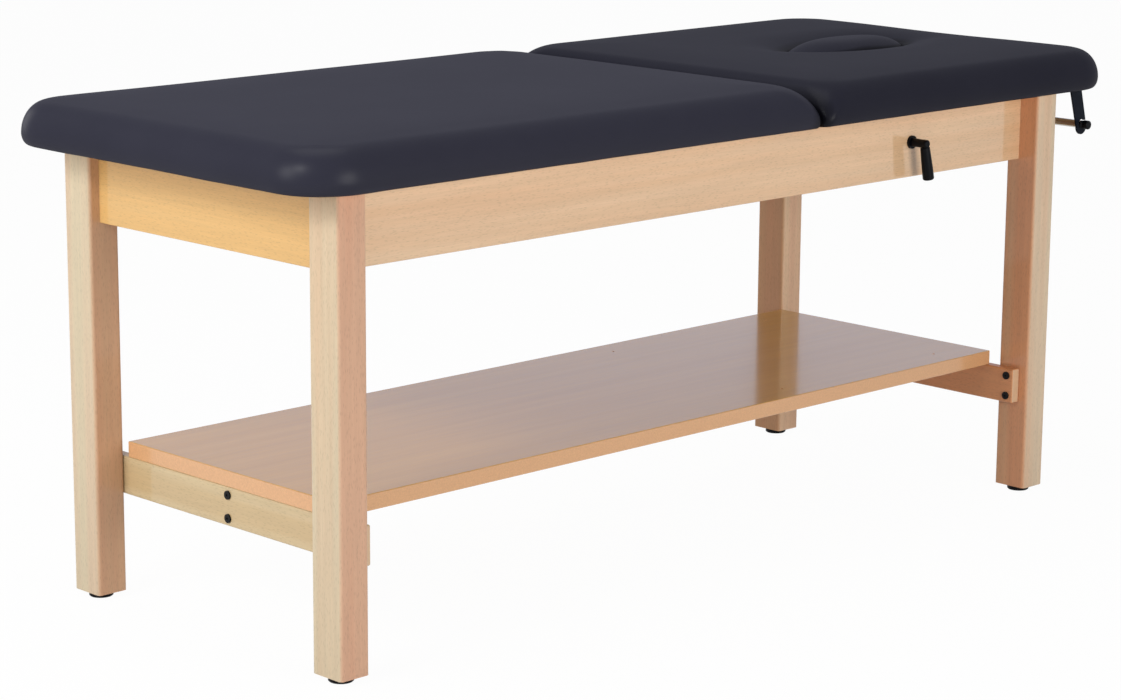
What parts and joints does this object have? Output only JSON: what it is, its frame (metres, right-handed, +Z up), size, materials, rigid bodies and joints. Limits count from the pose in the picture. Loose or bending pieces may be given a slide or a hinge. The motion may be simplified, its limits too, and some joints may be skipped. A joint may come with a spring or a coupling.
{
  "type": "treatment table",
  "caption": "Wooden treatment table with a padded top in two sections, a tilting head section with a plugged face opening, a clamp lever, a paper-roll rod and a lower shelf.",
  "frame": {"origin": "on the floor under the middle of the padded top", "axes": "+X along the table to the head end, +Y across it away from the clamp lever, +Z up"},
  "size_m": [1.83, 0.745, 0.794],
  "materials": {
    "beech": "clear satin lacquer over pale beech",
    "shelf_veneer": "glossy clear lacquer over golden veneer",
    "dowel_wood": "bare fluted dowel",
    "plywood": "bare plywood",
    "vinyl": "smooth charcoal upholstery vinyl with a soft sheen",
    "black_bolt": "black oxide bolt heads",
    "black_steel": "black powder coat",
    "steel": "bright zinc plate",
    "bright_rod": "bright plated tube",
    "black_plastic": "fine-grained black moulding",
    "fibre": "pressed fibre",
    "nylon": "natural nylon",
    "brass": "turned brass"
  },
  "bodies": {
    "table_frame": {"leg_foot_front": "beech", "leg_foot_back": "beech", "leg_head_front": "beech", "leg_head_back": "beech", "rail_front": "beech", "rail_back": "beech", "rail_foot": "beech", "rail_head": "beech", "rail_cross": "beech", "stretcher_foot": "beech", "stretcher_head": "beech", "shelf_beam": "beech", "shelf": "shelf_veneer", "rail_dowels": "dowel_wood", "shelf_dowels": "dowel_wood", "main_board": "plywood", "main_cushion": "vinyl", "stretcher_bolts": "black_bolt", "beam_bolts": "black_bolt", "leg_inserts": "steel", "beam_barrel_nuts": "steel", "hinge_leaf_main_front": "steel", "hinge_leaf_main_back": "steel", "hinge_pin_front": "steel", "hinge_pin_back": "steel", "hinge_screws_main": "steel", "board_brackets": "steel", "board_bracket_screws": "steel", "clamp_stud": "steel", "leg_glides": "black_plastic", "friction_washer": "fibre"},
    "head_section": {"head_board": "plywood", "head_cushion": "vinyl", "hinge_leaf_head_front": "steel", "hinge_leaf_head_back": "steel", "hinge_screws_head": "steel", "stay_track": "steel", "track_screws": "steel", "paper_bracket_front": "black_steel", "paper_bracket_back": "black_steel", "paper_bracket_screws": "steel"},
    "stay": {"stay_arm": "steel", "stay_glide": "nylon", "stay_pin": "steel"},
    "lever": {"clamp_lever": "black_plastic", "lever_insert": "brass"},
    "plug": {"plug_board": "plywood", "plug_cushion": "vinyl"},
    "roll_rod": {"paper_rod": "bright_rod", "paper_rod_knobs": "black_plastic"}
  },
  "joints": [
    {"name": "head_tilt", "type": "hinge", "parent": "table_frame", "child": "head_section", "pos_m": [0.138, 0, 0.75], "axis": [0, -1, 0], "range_deg": [0, 60]},
    {"name": "stay_swing", "type": "hinge", "parent": "table_frame", "child": "stay", "pos_m": [0.4555, -0.2545, 0.655], "axis": [0, -1, 0], "range_deg": [0, 127.2]},
    {"name": "lever_turn", "type": "hinge", "parent": "table_frame", "child": "lever", "pos_m": [0.4555, -0.2835, 0.655], "axis": [0, -1, 0], "range_deg": [0, 100]},
    {"name": "plug_lift", "type": "slide", "parent": "head_section", "child": "plug", "axis": [0, 0, 1], "range_m": [0, 0.1]},
    {"name": "rod_out", "type": "slide", "parent": "head_section", "child": "roll_rod", "axis": [1, 0, 0], "range_m": [0, 0.035]}
  ],
  "couplings": [
    {"joint": "stay_swing", "follows": "head_tilt", "ratio": 2.12}
  ]
}
